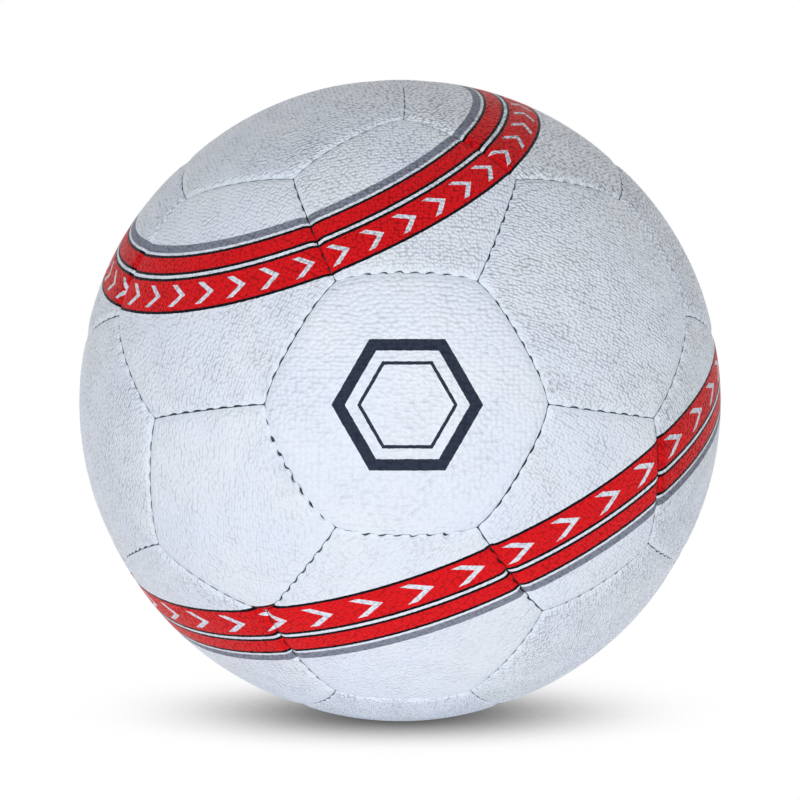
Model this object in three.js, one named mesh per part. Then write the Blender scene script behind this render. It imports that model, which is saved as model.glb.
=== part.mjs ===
// Hand-stitched handball: 20 six-sided and 12 five-sided leather panels sewn edge to edge over an
// air bladder, with the inflating valve in the panel opposite the front one.
// Millimetres, +Z up, origin at the centre of the ball. A six-sided panel faces -Y with a five-sided
// panel above it, and the valve is on +Y.

import * as THREE from 'three';

// Whole ball
const CIRCUMFERENCE = 590; // a men's size ball is 580 to 600 round
const BALL_RADIUS = CIRCUMFERENCE / (2 * Math.PI);

// Panels: synthetic leather laminated on cloth, their edges bent in and sewn back to back
const LAMINATE = 3.2;
const CROWN = 0.35; // how far the middle of a panel stands proud of the start of its bent edge
const BEND_RADIUS = 2.4; // outside radius of the edge where it bends into the seam
const SEAM_ALLOWANCE = 2.4; // how far the turned-in edge stands in past the laminate's inner face
const SEAM_GAP = 0.3; // between the two leather faces of a seam

// Thread that closes the seams
const THREAD_DIAMETER = 0.8;
const THREAD_DEPTH = 1.1; // from the ball's surface to the middle of the thread

// Bladder
const BLADDER_WALL = 0.9;
const BLADDER_CLEARANCE = 0.6; // to the cut edges of the panels

// Valve
const FIT = 0.3; // clearance between rubber pieces, and round the valve's stem
const STEM_RADIUS = 4.2;
const STEM_RECESS = 0.8; // of the stem's flat end below the ball's surface
const VALVE_FLANGE_RADIUS = 12;
const VALVE_FLANGE_THICKNESS = 1.4;
const BOSS_RADIUS = 5.6; // of the part of the valve inside the bladder
const BOSS_LENGTH = 11;
const CORE_RADIUS = 2.3; // soft plug that the pump's needle pushes through
const CORE_HEAD_LENGTH = 1.6; // wider head that keeps the plug from being pushed in
const CORE_HEAD_RADIUS = 2.9;
const NEEDLE_DIMPLE_RADIUS = 0.9;
const NEEDLE_DIMPLE_DEPTH = 2.5;

// Fineness
const EDGE_STEPS = 3; // facets along one panel edge
const CROWN_RINGS = 3;
const BEND_STEPS = 3;
const ROUND_STEPS = 24;
const BLADDER_RINGS = 9;
const SAME_PLACE = 1e-3; // points that lie nearer than this are one point

// Heights on the valve's axis, from the middle of the ball
const CUT_EDGE_DEPTH = LAMINATE + SEAM_ALLOWANCE;
const BLADDER_RADIUS = BALL_RADIUS - CUT_EDGE_DEPTH - BLADDER_CLEARANCE;
const VALVE_FLANGE_UNDERSIDE = BLADDER_RADIUS + FIT;
const VALVE_FLANGE_TOP = VALVE_FLANGE_UNDERSIDE + VALVE_FLANGE_THICKNESS;
const VALVE_FACE = BALL_RADIUS - STEM_RECESS;
const BOSS_END = BLADDER_RADIUS - BLADDER_WALL - BOSS_LENGTH;
const PANEL_HOLE_RADIUS = STEM_RADIUS + FIT;
const BLADDER_HOLE_RADIUS = BOSS_RADIUS + FIT;

// Materials
const whiteLeather = { color: 0xe1e9f4, roughness: 0.45, metalness: 0 };
const darkThread = { color: 0x3c4048, roughness: 0.7, metalness: 0 };
const blackRubber = { color: 0x26272a, roughness: 0.6, metalness: 0 };
const greyRubber = { color: 0x8b8f96, roughness: 0.55, metalness: 0 };
const paleRubber = { color: 0xd9dcdf, roughness: 0.5, metalness: 0 };

function piece(name, geometry, finish) {
  const mesh = new THREE.Mesh(geometry, new THREE.MeshStandardMaterial(finish));
  mesh.name = name;
  return mesh;
}

// Where the panels lie

// The icosahedron whose corners are the middles of the five-sided panels and whose faces are the
// middles of the six-sided ones, turned so that one face looks along -Y with a corner above it.
function icosahedronFaces() {
  const position = new THREE.IcosahedronGeometry(1, 0).getAttribute('position');
  const corners = [];
  for (let i = 0; i < position.count; i += 1) {
    corners.push(new THREE.Vector3().fromBufferAttribute(position, i));
  }
  const front = middle(corners.slice(0, 3));
  const up = corners[0].clone().projectOnPlane(front).normalize();
  const side = new THREE.Vector3().crossVectors(front, up);
  const asMade = new THREE.Matrix4().makeBasis(side, front, up);
  const asWanted = new THREE.Matrix4().makeBasis(
    new THREE.Vector3(-1, 0, 0),
    new THREE.Vector3(0, -1, 0),
    new THREE.Vector3(0, 0, 1),
  );
  const turn = asWanted.multiply(asMade.transpose());
  corners.forEach((corner) => corner.applyMatrix4(turn));
  const faces = [];
  for (let i = 0; i < corners.length; i += 3) {
    faces.push(corners.slice(i, i + 3));
  }
  return faces;
}

function middle(points) {
  const sum = new THREE.Vector3();
  points.forEach((point) => sum.add(point));
  return sum.normalize();
}

function isSame(a, b) {
  return a.distanceTo(b) < SAME_PLACE;
}

// From the front of the ball to the back, and round it within each row
function frontToBack(a, b) {
  const row = Math.round(a.axis.y / SAME_PLACE) - Math.round(b.axis.y / SAME_PLACE);
  return row || Math.atan2(a.axis.x, a.axis.z) - Math.atan2(b.axis.x, b.axis.z);
}

const faces = icosahedronFaces();

const hexagonPlaces = faces
  .map((corners) => ({ axis: middle(corners), towards: corners[0] }))
  .sort(frontToBack);

const pentagonPlaces = faces
  .flatMap((corners) => corners.map((corner) => ({ axis: corner, towards: middle(corners) })))
  .filter((place, i, all) => all.findIndex((other) => isSame(other.axis, place.axis)) === i)
  .sort(frontToBack);

// The seams' ends: each edge of the icosahedron is cut at its thirds
function cut(near, far) {
  return near.clone().lerp(far, 1 / 3).normalize();
}

// Each edge of the icosahedron belongs to two faces, and its seam counts once
const seams = faces
  .flatMap((corners) =>
    corners.flatMap((corner, i) => {
      const next = corners[(i + 1) % 3];
      const last = corners[(i + 2) % 3];
      const roundPentagon = [cut(corner, next), cut(corner, last)];
      const betweenHexagons = [cut(corner, next), cut(next, corner)];
      return [roundPentagon, betweenHexagons];
    }),
  )
  .filter((seam, i, all) => all.findIndex((other) => isSame(middle(other), middle(seam))) === i);

function apothemAngle(place, sides) {
  const near = seams
    .map(([a, b]) => middle([a, b]).angleTo(place.axis))
    .sort((a, b) => a - b);
  return near[sides - 1];
}

const HEXAGON_APOTHEM = apothemAngle(hexagonPlaces[0], 6);
const PENTAGON_APOTHEM = apothemAngle(pentagonPlaces[0], 5);

// Panels

function onSection(polar, depth) {
  const radius = BALL_RADIUS - depth;
  return new THREE.Vector2(radius * Math.sin(polar), radius * Math.cos(polar));
}

// The panel's section from its middle to the middle of one edge: the crowned face, the bend, the
// turned-in edge, its cut end and the inner face. Insets are measured from the middle of the seam.
function panelSection(apothem, holeRadius) {
  const polarAt = (inset, depth) => apothem - Math.asin(inset / (BALL_RADIUS - depth));
  const face = SEAM_GAP / 2;
  const bendStart = polarAt(face + BEND_RADIUS, CROWN);
  const holePolar = (depth) => Math.asin(holeRadius / (BALL_RADIUS - depth));
  const section = [onSection(holePolar(0), 0)];
  for (let ring = 1; ring < CROWN_RINGS; ring += 1) {
    const share = ring / CROWN_RINGS;
    section.push(onSection(bendStart * share, CROWN * share * share));
  }
  for (let step = 0; step <= BEND_STEPS; step += 1) {
    const turned = (Math.PI / 2) * (step / BEND_STEPS);
    const inset = face + BEND_RADIUS * (1 - Math.sin(turned));
    const depth = CROWN + BEND_RADIUS * (1 - Math.cos(turned));
    section.push(onSection(polarAt(inset, depth), depth));
  }
  const innerBend = (BEND_RADIUS - LAMINATE) * Math.SQRT1_2;
  const innerInset = face + BEND_RADIUS - innerBend;
  const innerDepth = CROWN + BEND_RADIUS - innerBend;
  section.push(
    onSection(polarAt(face, CUT_EDGE_DEPTH), CUT_EDGE_DEPTH),
    onSection(polarAt(face + LAMINATE, CUT_EDGE_DEPTH), CUT_EDGE_DEPTH),
    onSection(polarAt(innerInset, innerDepth), innerDepth),
    onSection(bendStart / 2, LAMINATE + CROWN / 4),
    onSection(holePolar(LAMINATE), LAMINATE),
  );
  return section;
}

// Draws the round outline of a revolved section out to the corners of a polygon: each point keeps
// its distance from the centre of the ball and, measured from the seam's plane, its inset.
function drawOutToCorners(geometry, sides, apothem, holeRadius) {
  const position = geometry.getAttribute('position');
  const point = new THREE.Vector3();
  for (let i = 0; i < position.count; i += 1) {
    point.fromBufferAttribute(position, i);
    const fromAxis = Math.hypot(point.x, point.z);
    if (fromAxis < holeRadius + SAME_PLACE) continue;
    const radius = point.length();
    const inset = radius * Math.sin(apothem - Math.atan2(fromAxis, point.y));
    const azimuth = Math.atan2(point.x, point.z);
    const edge = (2 * Math.PI) / sides;
    const fromEdgeMiddle = azimuth - edge * Math.round(azimuth / edge);
    const across = Math.cos(apothem) * Math.cos(fromEdgeMiddle);
    const reach = Math.hypot(Math.sin(apothem), across);
    const lean = Math.atan2(across, Math.sin(apothem));
    const polar = Math.acos(inset / (radius * reach)) - lean;
    position.setXYZ(
      i,
      radius * Math.sin(polar) * Math.sin(azimuth),
      radius * Math.cos(polar),
      radius * Math.sin(polar) * Math.cos(azimuth),
    );
  }
}

function panel(name, place, sides, apothem, holeRadius = 0) {
  const section = panelSection(apothem, holeRadius).reverse();
  if (holeRadius > 0) section.push(section[0].clone());
  const geometry = new THREE.LatheGeometry(section, sides * EDGE_STEPS, Math.PI / sides);
  drawOutToCorners(geometry, sides, apothem, holeRadius);
  const mesh = piece(name, geometry, whiteLeather);
  const towards = place.towards.clone().projectOnPlane(place.axis).normalize();
  const side = new THREE.Vector3().crossVectors(place.axis, towards);
  mesh.setRotationFromMatrix(new THREE.Matrix4().makeBasis(side, place.axis, towards));
  return mesh;
}

function panels() {
  const group = new THREE.Group();
  const numbered = (word, i) => `${word}_panel_${String(i + 1).padStart(2, '0')}`;
  hexagonPlaces.slice(0, -1).forEach((place, i) => {
    group.add(panel(numbered('hexagon', i), place, 6, HEXAGON_APOTHEM));
  });
  group.add(panel('valve_panel', hexagonPlaces.at(-1), 6, HEXAGON_APOTHEM, PANEL_HOLE_RADIUS));
  pentagonPlaces.forEach((place, i) => {
    group.add(panel(numbered('pentagon', i), place, 5, PENTAGON_APOTHEM));
  });
  return group;
}

// Thread

// Each seam's run of thread is a loft of diamond sections along the arc between two seam corners.
// Where three runs meet they share the points of their last section, so the net is one closed tube.

function alongSeam(corner, far) {
  return far.clone().projectOnPlane(corner).normalize();
}

function farEnds(corner) {
  return seams.flatMap(([a, b]) => [[a, b], [b, a]])
    .filter(([near]) => isSame(near, corner))
    .map(([, far]) => far);
}

// The point shared by the run to one far end and its neighbour on the side that sideways shows
function sharedPoint(corner, far, sideways, radius, half) {
  const neighbour = farEnds(corner).find(
    (other) => !isSame(other, far) && alongSeam(corner, other).dot(sideways) > 0,
  );
  const own = alongSeam(corner, far);
  const next = alongSeam(corner, neighbour);
  const reach = half / Math.sin(own.angleTo(next) / 2);
  return corner.clone().multiplyScalar(radius).addScaledVector(own.add(next).normalize(), reach);
}

function threadSections([from, to]) {
  const half = THREAD_DIAMETER / 2;
  const radius = BALL_RADIUS - THREAD_DEPTH;
  const sideways = new THREE.Vector3().crossVectors(from, to).normalize();
  const otherWay = sideways.clone().negate();
  const sections = [];
  for (let step = 0; step <= EDGE_STEPS; step += 1) {
    const middleLine = from.clone().applyAxisAngle(sideways, from.angleTo(to) * (step / EDGE_STEPS));
    const centre = middleLine.clone().multiplyScalar(radius);
    sections.push([
      middleLine.clone().multiplyScalar(radius + half),
      centre.clone().addScaledVector(sideways, half),
      middleLine.clone().multiplyScalar(radius - half),
      centre.clone().addScaledVector(otherWay, half),
    ]);
  }
  const first = sections[0];
  const last = sections[EDGE_STEPS];
  first[1] = sharedPoint(from, to, sideways, radius, half);
  first[3] = sharedPoint(from, to, otherWay, radius, half);
  last[1] = sharedPoint(to, from, sideways, radius, half);
  last[3] = sharedPoint(to, from, otherWay, radius, half);
  return sections;
}

function seamThread() {
  const triangles = [];
  seams.map(threadSections).forEach((sections) => {
    for (let step = 0; step < EDGE_STEPS; step += 1) {
      const near = sections[step];
      const far = sections[step + 1];
      near.forEach((corner, i) => {
        const next = (i + 1) % near.length;
        triangles.push(corner, far[next], near[next], corner, far[i], far[next]);
      });
    }
  });
  const geometry = new THREE.BufferGeometry().setFromPoints(triangles);
  geometry.computeVertexNormals();
  return piece('seam_thread', geometry, darkThread);
}

// Bladder and valve

function arc(radius, fromAngle, toAngle, steps) {
  return new THREE.EllipseCurve(0, 0, radius, radius, fromAngle, toAngle, fromAngle > toAngle)
    .getPoints(steps);
}

function bladder() {
  const holeAngle = (radius) => Math.acos(BLADDER_HOLE_RADIUS / radius);
  const inside = BLADDER_RADIUS - BLADDER_WALL;
  const profile = [
    ...arc(BLADDER_RADIUS, -Math.PI / 2, holeAngle(BLADDER_RADIUS), BLADDER_RINGS),
    ...arc(inside, holeAngle(inside), -Math.PI / 2, BLADDER_RINGS),
  ];
  return piece('bladder', new THREE.LatheGeometry(profile, ROUND_STEPS), blackRubber);
}

function valveBody() {
  const flangeAngle = (radius) => Math.acos(VALVE_FLANGE_RADIUS / radius);
  const stemAngle = Math.acos(STEM_RADIUS / VALVE_FLANGE_TOP);
  const bossAngle = Math.acos(BOSS_RADIUS / VALVE_FLANGE_UNDERSIDE);
  const boreRadius = CORE_RADIUS + FIT;
  const headRadius = CORE_HEAD_RADIUS + FIT;
  const headSeat = VALVE_FACE - CORE_HEAD_LENGTH - FIT;
  const profile = [
    new THREE.Vector2(boreRadius, BOSS_END),
    new THREE.Vector2(BOSS_RADIUS, BOSS_END),
    ...arc(VALVE_FLANGE_UNDERSIDE, bossAngle, flangeAngle(VALVE_FLANGE_UNDERSIDE), 2),
    ...arc(VALVE_FLANGE_TOP, flangeAngle(VALVE_FLANGE_TOP), stemAngle, 2),
    new THREE.Vector2(STEM_RADIUS, VALVE_FACE),
    new THREE.Vector2(headRadius, VALVE_FACE),
    new THREE.Vector2(headRadius, headSeat),
    new THREE.Vector2(boreRadius, headSeat),
    new THREE.Vector2(boreRadius, BOSS_END),
  ];
  return piece('valve_body', new THREE.LatheGeometry(profile, ROUND_STEPS), greyRubber);
}

function valveCore() {
  const headSeat = VALVE_FACE - CORE_HEAD_LENGTH;
  const profile = [
    new THREE.Vector2(0, BOSS_END),
    new THREE.Vector2(CORE_RADIUS, BOSS_END),
    new THREE.Vector2(CORE_RADIUS, headSeat),
    new THREE.Vector2(CORE_HEAD_RADIUS, headSeat),
    new THREE.Vector2(CORE_HEAD_RADIUS, VALVE_FACE),
    new THREE.Vector2(NEEDLE_DIMPLE_RADIUS, VALVE_FACE),
    new THREE.Vector2(0, VALVE_FACE - NEEDLE_DIMPLE_DEPTH),
  ];
  return piece('valve_core', new THREE.LatheGeometry(profile, ROUND_STEPS), paleRubber);
}

const handball = new THREE.Group();
handball.add(panels(), seamThread(), bladder(), valveBody(), valveCore());

export default handball;
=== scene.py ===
import math

import bmesh
import bpy
import numpy as np
from mathutils import Matrix, Vector

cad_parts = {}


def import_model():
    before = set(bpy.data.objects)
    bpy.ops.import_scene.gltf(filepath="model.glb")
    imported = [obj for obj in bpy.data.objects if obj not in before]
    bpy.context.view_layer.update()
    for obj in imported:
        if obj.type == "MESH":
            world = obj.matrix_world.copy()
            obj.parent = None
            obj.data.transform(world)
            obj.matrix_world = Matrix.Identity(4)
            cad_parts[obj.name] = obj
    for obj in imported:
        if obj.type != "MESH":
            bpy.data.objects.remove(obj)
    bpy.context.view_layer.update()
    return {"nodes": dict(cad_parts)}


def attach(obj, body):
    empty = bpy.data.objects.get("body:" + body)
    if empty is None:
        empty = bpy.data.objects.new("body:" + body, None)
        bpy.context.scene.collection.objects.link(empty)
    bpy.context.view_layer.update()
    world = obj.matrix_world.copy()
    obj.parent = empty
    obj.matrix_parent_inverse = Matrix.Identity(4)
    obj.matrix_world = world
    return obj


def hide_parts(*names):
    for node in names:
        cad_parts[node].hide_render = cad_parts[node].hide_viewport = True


# Hand-stitched handball. Every panel of grained white leather gets its real face: crowned, drawn down
# into the seams, opened a little at each stitch and printed with plain hoops. The thread and the valve
# are dressed the same way. All sizes are in metres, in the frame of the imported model.

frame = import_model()

SEED = 11

# Camera
CAMERA_PLACE = (-0.01577, -0.76140, 0.01028)
CAMERA_LENS = 116.4
CAMERA_SENSOR = 36.0

# Panels
LAMINATE = 0.0032
CUT_EDGE_DEPTH = 0.0056  # how deep the turned-in edges stand below the ball's surface
CROWN = 0.00030  # fall of a panel's face from its middle to its corners
PILLOW = 0.00022  # further fall beside a seam
PILLOW_REACH = 0.0030
LIP = 0.00080  # last fall of the face into the seam
LIP_REACH = 0.0027
UNEVEN = 0.00007  # soft unevenness of the faces, a sum of waves through space
WAVES_COUNT = 14
WAVE_SIZE = 0.011
GATHER = 0.00007  # small folds that run out from the corners
GATHER_REACH = 0.0045
GATHER_START = 0.0012  # distance from the corner at which they have risen
GATHER_TURNS = 7  # folds round one corner
GATHER_PHASE = 6.0
GATHER_STRENGTH = (0.3, 1.0)
CORNER_SINK = 0.00022  # fall of the face at its corners
CORNER_REACH = 0.0040
CORNER_GAP = 0.00010  # further opening of a seam at its corners
CORNER_GAP_REACH = 0.0005
CORNER_BLEND = 0.0022  # near a corner each seam's own shape fades out over this
DISTANCE_BLEND = 0.0006  # rounds off the distance to the nearest seam between two seams

# Turned-in edge: insets from the middle of the seam, depths below the ball's surface
LIP_FOOT = 0.00025  # of the first row below the face's own edge
CHANNEL_HALF = 0.00040  # channel between two panels that the thread lies in
CHANNEL_TOP = 0.00230
CHANNEL_FOOT = 0.00292
PRESSED_HALF = 0.00010  # below the channel the two edges are pressed together
PRESSED_TOP = 0.00320
INNER_BEND = 0.0002  # of the edge's inner side, below the inner face
INNER_INSET = 0.018  # of the inner face's last row
CLOTH_ROW = 5  # the laminate's cloth shows from this row on

# Stitches
STITCHES = 8  # along one seam
END_MARGIN = 0.03  # share of the seam before its first stitch
STITCH_HALF = 0.00142  # half the length of the opening at a stitch
STITCH_SWING = 0.00095  # how far the seam's line swings out at a stitch
STITCH_OPEN = 0.00034  # width of the opening
STITCH_REACH = 0.0011  # how far into the panel a stitch is felt
STITCH_SINK = 0.00022  # fall of the face at a stitch
STITCH_DRIFT = 0.00010  # scatter of the stitches along the seam
STITCH_SLANT = 0.3  # scatter of their lean
STITCH_STRENGTH = (0.6, 1.0)
SEAM_STRENGTH = (0.75, 1.0)
END_STRENGTH = (0.15, 0.6)  # of a seam's first and last stitch
SWING_POWER = 0.8  # below 1 an arc is fuller than a parabola
OPEN_GAIN = 2.5  # how soon a stitch's opening reaches its full width
OPEN_POWER = 0.5
BUMP = 0.00010  # swelling of the leading panel inside each stitch
BUMP_REACH = 0.0006
EDGE_SHADE = 0.45  # darkening of the face's edge, and more of it at each stitch
STITCH_SHADE = 0.45
SHADE_REACH = 0.00016
SHADED_OPENING = (0.40, 0.65)  # a seam that opens less has a paler edge

# Seams: those of the front panel one by one, upper right first, and the rest as ranges
FRONT_BOWS = (0.0012, 0.00125, 0.0011, 0.0021, 0.0010, 0.00135)
FRONT_SWINGS = (0.45, 0.9, 0.35, 1.15, 1.1, 0.4)  # how far their stitches swing out, in shares
FRONT_GAPS = (0.00007, 0.00002, 0.00008, 0.00005, 0.00002, 0.00011)  # half their closed gap
FRONT_OPENINGS = (0.75, 0.62, 0.7, 0.65, 0.65, 0.8)  # width of their openings, in shares
OTHER_BOW = 0.0009
OTHER_BOWS = (-0.3, 1)  # in shares
OTHER_SWINGS = (0.15, 0.7)
OTHER_GAPS = (0.00004, 0.00011)
OTHER_OPENINGS = (0.45, 0.85)
BOW_REACH = 0.007
BOW_POWER = 3

# Thread
THREAD_RADIUS = 0.00027
THREAD_HIGH = 0.00192  # depth of the thread's middle where it shows
THREAD_LOW = 0.00255  # depth of the thread's middle inside the seam
THREAD_BOW = 0.8  # how much of the seam's bow and swing the thread follows
THREAD_SWING = 0.45
THREAD_SIDES = 7
THREAD_STEPS = 9  # per stitch

# Valve
VALVE_HOLE = 0.0045
VALVE_STEM = 0.0042
VALVE_HOLE_LIP = 0.0010  # width and fall of the leather's edge round the hole
VALVE_HOLE_SINK = 0.0007
RIM_ROUND = 0.0004
RIM_STEPS = 3
RIM_NEAR = 0.00001  # how close an edge must be to a named point to belong to its rim
SAME_PLACE = 0.000001
SHARP_ANGLE = math.radians(40)  # edges that bend more than this are shaded sharp
VALVE_STEPS = 96
VALVE_FIT = 0.0003
VALVE_FACE = 0.0931
FLANGE_RADIUS = 0.0120
FLANGE_UNDERSIDE = 0.0880
FLANGE_TOP = 0.0894
BOSS_RADIUS = 0.0056
BOSS_END = 0.0758
CORE_RADIUS = 0.0023
CORE_HEAD_RADIUS = 0.0029
CORE_HEAD_LENGTH = 0.0016
DIMPLE_RADIUS = 0.0009
DIMPLE_DEPTH = 0.0025
DIMPLE_STEPS = 9
DIMPLE_POWER = 0.7  # above 0.5 the dimple narrows towards its foot

# Fineness of the panels' meshes
LAYERS = ("share", "azimuth", "row")  # what a blank knows of each vertex
ON_CORNER = 0.999  # a blank's corners lie at 1, the middles of its edges further in
CUTS = 31  # cuts of each of a blank's starting quads
HOLE_RINGS = 26  # rows of the holed blank's face
FINER = 3  # how much closer the vertices stand beside a seam
BAND = 0.0045  # width of the fine rows beside a seam
BAND_ROWS = 12
CROWDING = 1.5  # how much these rows crowd towards the seam
RING_STEP = 0.02  # how far each row lies outside the last on a blank

rng = np.random.default_rng(SEED)


def unit(vector):
    return np.asarray(vector, float) / np.linalg.norm(vector)


def smooth(low, high, x):
    t = np.clip((x - low) / (high - low), 0, 1)
    return t * t * (3 - 2 * t)


# Where the panels and seams lie, read from the frame


def node_points(name):
    mesh = frame["nodes"][name].data
    points = np.empty(len(mesh.vertices) * 3, np.float32)
    mesh.vertices.foreach_get("co", points)
    return points.reshape(-1, 3).astype(float)


panel_names = [name for name in sorted(frame["nodes"]) if "_panel" in name]
axes = {name: unit(node_points(name).mean(0)) for name in panel_names}
sides = {name: 5 if name.startswith("pentagon") else 6 for name in panel_names}
radius = max(np.linalg.norm(node_points(name), axis=1).max() for name in panel_names)
front_panel = min(panel_names, key=lambda name: axes[name][1])


def angle_between(a, b):
    return math.acos(float(np.clip(axes[a] @ axes[b], -1, 1)))


def nearest(name, count):
    """The nearest panel with that many sides."""
    others = [other for other in panel_names if other != name and sides[other] == count]
    return min(others, key=lambda other: angle_between(name, other))


HEXAGON_APOTHEM = angle_between(front_panel, nearest(front_panel, 6)) / 2
PENTAGON_APOTHEM = angle_between(front_panel, nearest(front_panel, 5)) - HEXAGON_APOTHEM
apothems = {6: HEXAGON_APOTHEM, 5: PENTAGON_APOTHEM}
half_seam = radius * math.atan(math.tan(math.pi / 6) * math.sin(HEXAGON_APOTHEM))


def basis(name):
    """Columns: towards the middle of the panel's first edge, sideways, and out of the ball."""
    out = axes[name]
    towards = axes[nearest(name, 5 if sides[name] == 6 else 6)]
    first = unit(towards - out * (towards @ out))
    return np.stack([first, np.cross(out, first), out], 1)


def edge_directions(name):
    """For each edge of a panel: the inward normal of the seam's plane and the panel beyond."""
    turn, count = basis(name), sides[name]
    apothem = apothems[count]
    found = []
    for edge in range(count):
        angle = 2 * math.pi * edge / count
        tangent = turn @ np.array([math.cos(angle), math.sin(angle), 0])
        inward = axes[name] * math.sin(apothem) - tangent * math.cos(apothem)
        beyond = axes[name] * math.cos(2 * apothem) + tangent * math.sin(2 * apothem)
        others = [other for other in panel_names if other != name]
        found.append((inward, max(others, key=lambda other: axes[other] @ beyond)))
    return found


class Seam:
    """One seam: its line swings away from the leading panel at each stitch and bows between corners."""

    def __init__(self, lead, other):
        self.lead = lead
        self.along = unit(np.cross(axes[lead], axes[other]))
        near, far = apothems[sides[lead]], apothems[sides[other]]
        self.middle = unit(axes[lead] * math.sin(far) + axes[other] * math.sin(near))
        self.outward = unit(np.cross(self.middle, self.along))
        self.outward *= -np.sign(self.outward @ axes[lead])
        span = 2 * half_seam * (1 - 2 * END_MARGIN)
        self.pitch = span / STITCHES
        places = (np.arange(STITCHES) + 0.5) * self.pitch - span / 2
        self.places = places + rng.normal(0, STITCH_DRIFT, STITCHES)
        self.strength = rng.uniform(*STITCH_STRENGTH, STITCHES) * rng.uniform(*SEAM_STRENGTH)
        self.strength[[0, -1]] *= rng.uniform(*END_STRENGTH, 2)
        self.slant = rng.normal(0, STITCH_SLANT)
        self.closed_half = rng.uniform(*OTHER_GAPS)
        self.bow = rng.uniform(*OTHER_BOWS) * OTHER_BOW
        self.swinging = rng.uniform(*OTHER_SWINGS)
        self.opening = rng.uniform(*OTHER_OPENINGS)
        if lead == front_panel:
            place = round(math.degrees(math.atan2(self.middle[2], self.middle[0])) / 60 - 0.5) % 6
            self.bow = FRONT_BOWS[place]
            self.swinging = FRONT_SWINGS[place]
            self.closed_half = FRONT_GAPS[place]
            self.opening = FRONT_OPENINGS[place]
        least, full = SHADED_OPENING
        self.shade = EDGE_SHADE * min((self.opening - least) / (full - least), 1)

    def arcs(self, along, power=1.0):
        """0 away from the stitches, up to each one's strength at its middle."""
        total = np.zeros_like(along)
        for place, strength in zip(self.places, self.strength):
            off = (along - place) / STITCH_HALF
            off = off - self.slant * (1 - off**2) * (abs(off) < 1)
            total += strength * np.clip(1 - off**2, 0, None) ** power
        return total

    def swing(self, along):
        return STITCH_SWING * self.swinging * self.arcs(along, SWING_POWER)

    def bowed(self, along):
        return self.bow * np.clip(1 - abs(along / half_seam) ** BOW_POWER, 0, None)

    def half_open(self, along):
        opened = np.clip(OPEN_GAIN * self.arcs(along), 0, 1) ** OPEN_POWER
        return self.closed_half + STITCH_OPEN / 2 * self.opening * opened


seams = {}
for name in panel_names:
    for _, other in edge_directions(name):
        key = tuple(sorted((name, other)))
        if key not in seams:
            lead, follower = sorted(key, key=lambda panel: (round(axes[panel][1], 4), panel))
            seams[key] = Seam(lead, follower)


# Soft unevenness, the same for every panel

WAVES = rng.normal(0, 1, (WAVES_COUNT, 3)) / WAVE_SIZE
PHASES = rng.uniform(0, 2 * math.pi, WAVES_COUNT)


def unevenness(points):
    return np.sin(points @ WAVES.T + PHASES).mean(1) * 2


# Panel blanks: one for each outline, with every vertex's share of the way out and its azimuth


def drawn_out(bm, loop):
    """Draws a loop of edges out by one row. Returns the new vertices and the new loop."""
    drawn = bmesh.ops.extrude_edge_only(bm, edges=loop)["geom"]
    fresh = {item for item in drawn if isinstance(item, bmesh.types.BMVert)}
    edges = (item for item in drawn if isinstance(item, bmesh.types.BMEdge))
    return fresh, [edge for edge in edges if fresh.issuperset(edge.verts)]


def polygon_share(co, count):
    """How far out a point of the flat blank lies: 1 on the outline."""
    angles = 2 * math.pi * np.arange(count) / count
    normals = np.stack([np.cos(angles), np.sin(angles)], 1)
    return (np.asarray(co)[:2] @ normals.T).max() / math.cos(math.pi / count)


# Rows past the face: inset, depth and how much of the edge's bow the row keeps. The first one follows the
# face's edge, and its depth is measured from there. The row of the inner face comes after these.
EDGE_ROWS = [
    (None, LIP_FOOT, 1),
    (CHANNEL_HALF, CHANNEL_TOP, 0.8),
    (CHANNEL_HALF, CHANNEL_FOOT, 0.6),
    (PRESSED_HALF, PRESSED_TOP, 0.5),
    (PRESSED_HALF, CUT_EDGE_DEPTH, 0),
    (PRESSED_HALF + LAMINATE, CUT_EDGE_DEPTH, 0),
    (PRESSED_HALF + LAMINATE, LAMINATE + INNER_BEND, 0),
]
ROWS = len(EDGE_ROWS) + 1


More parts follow.
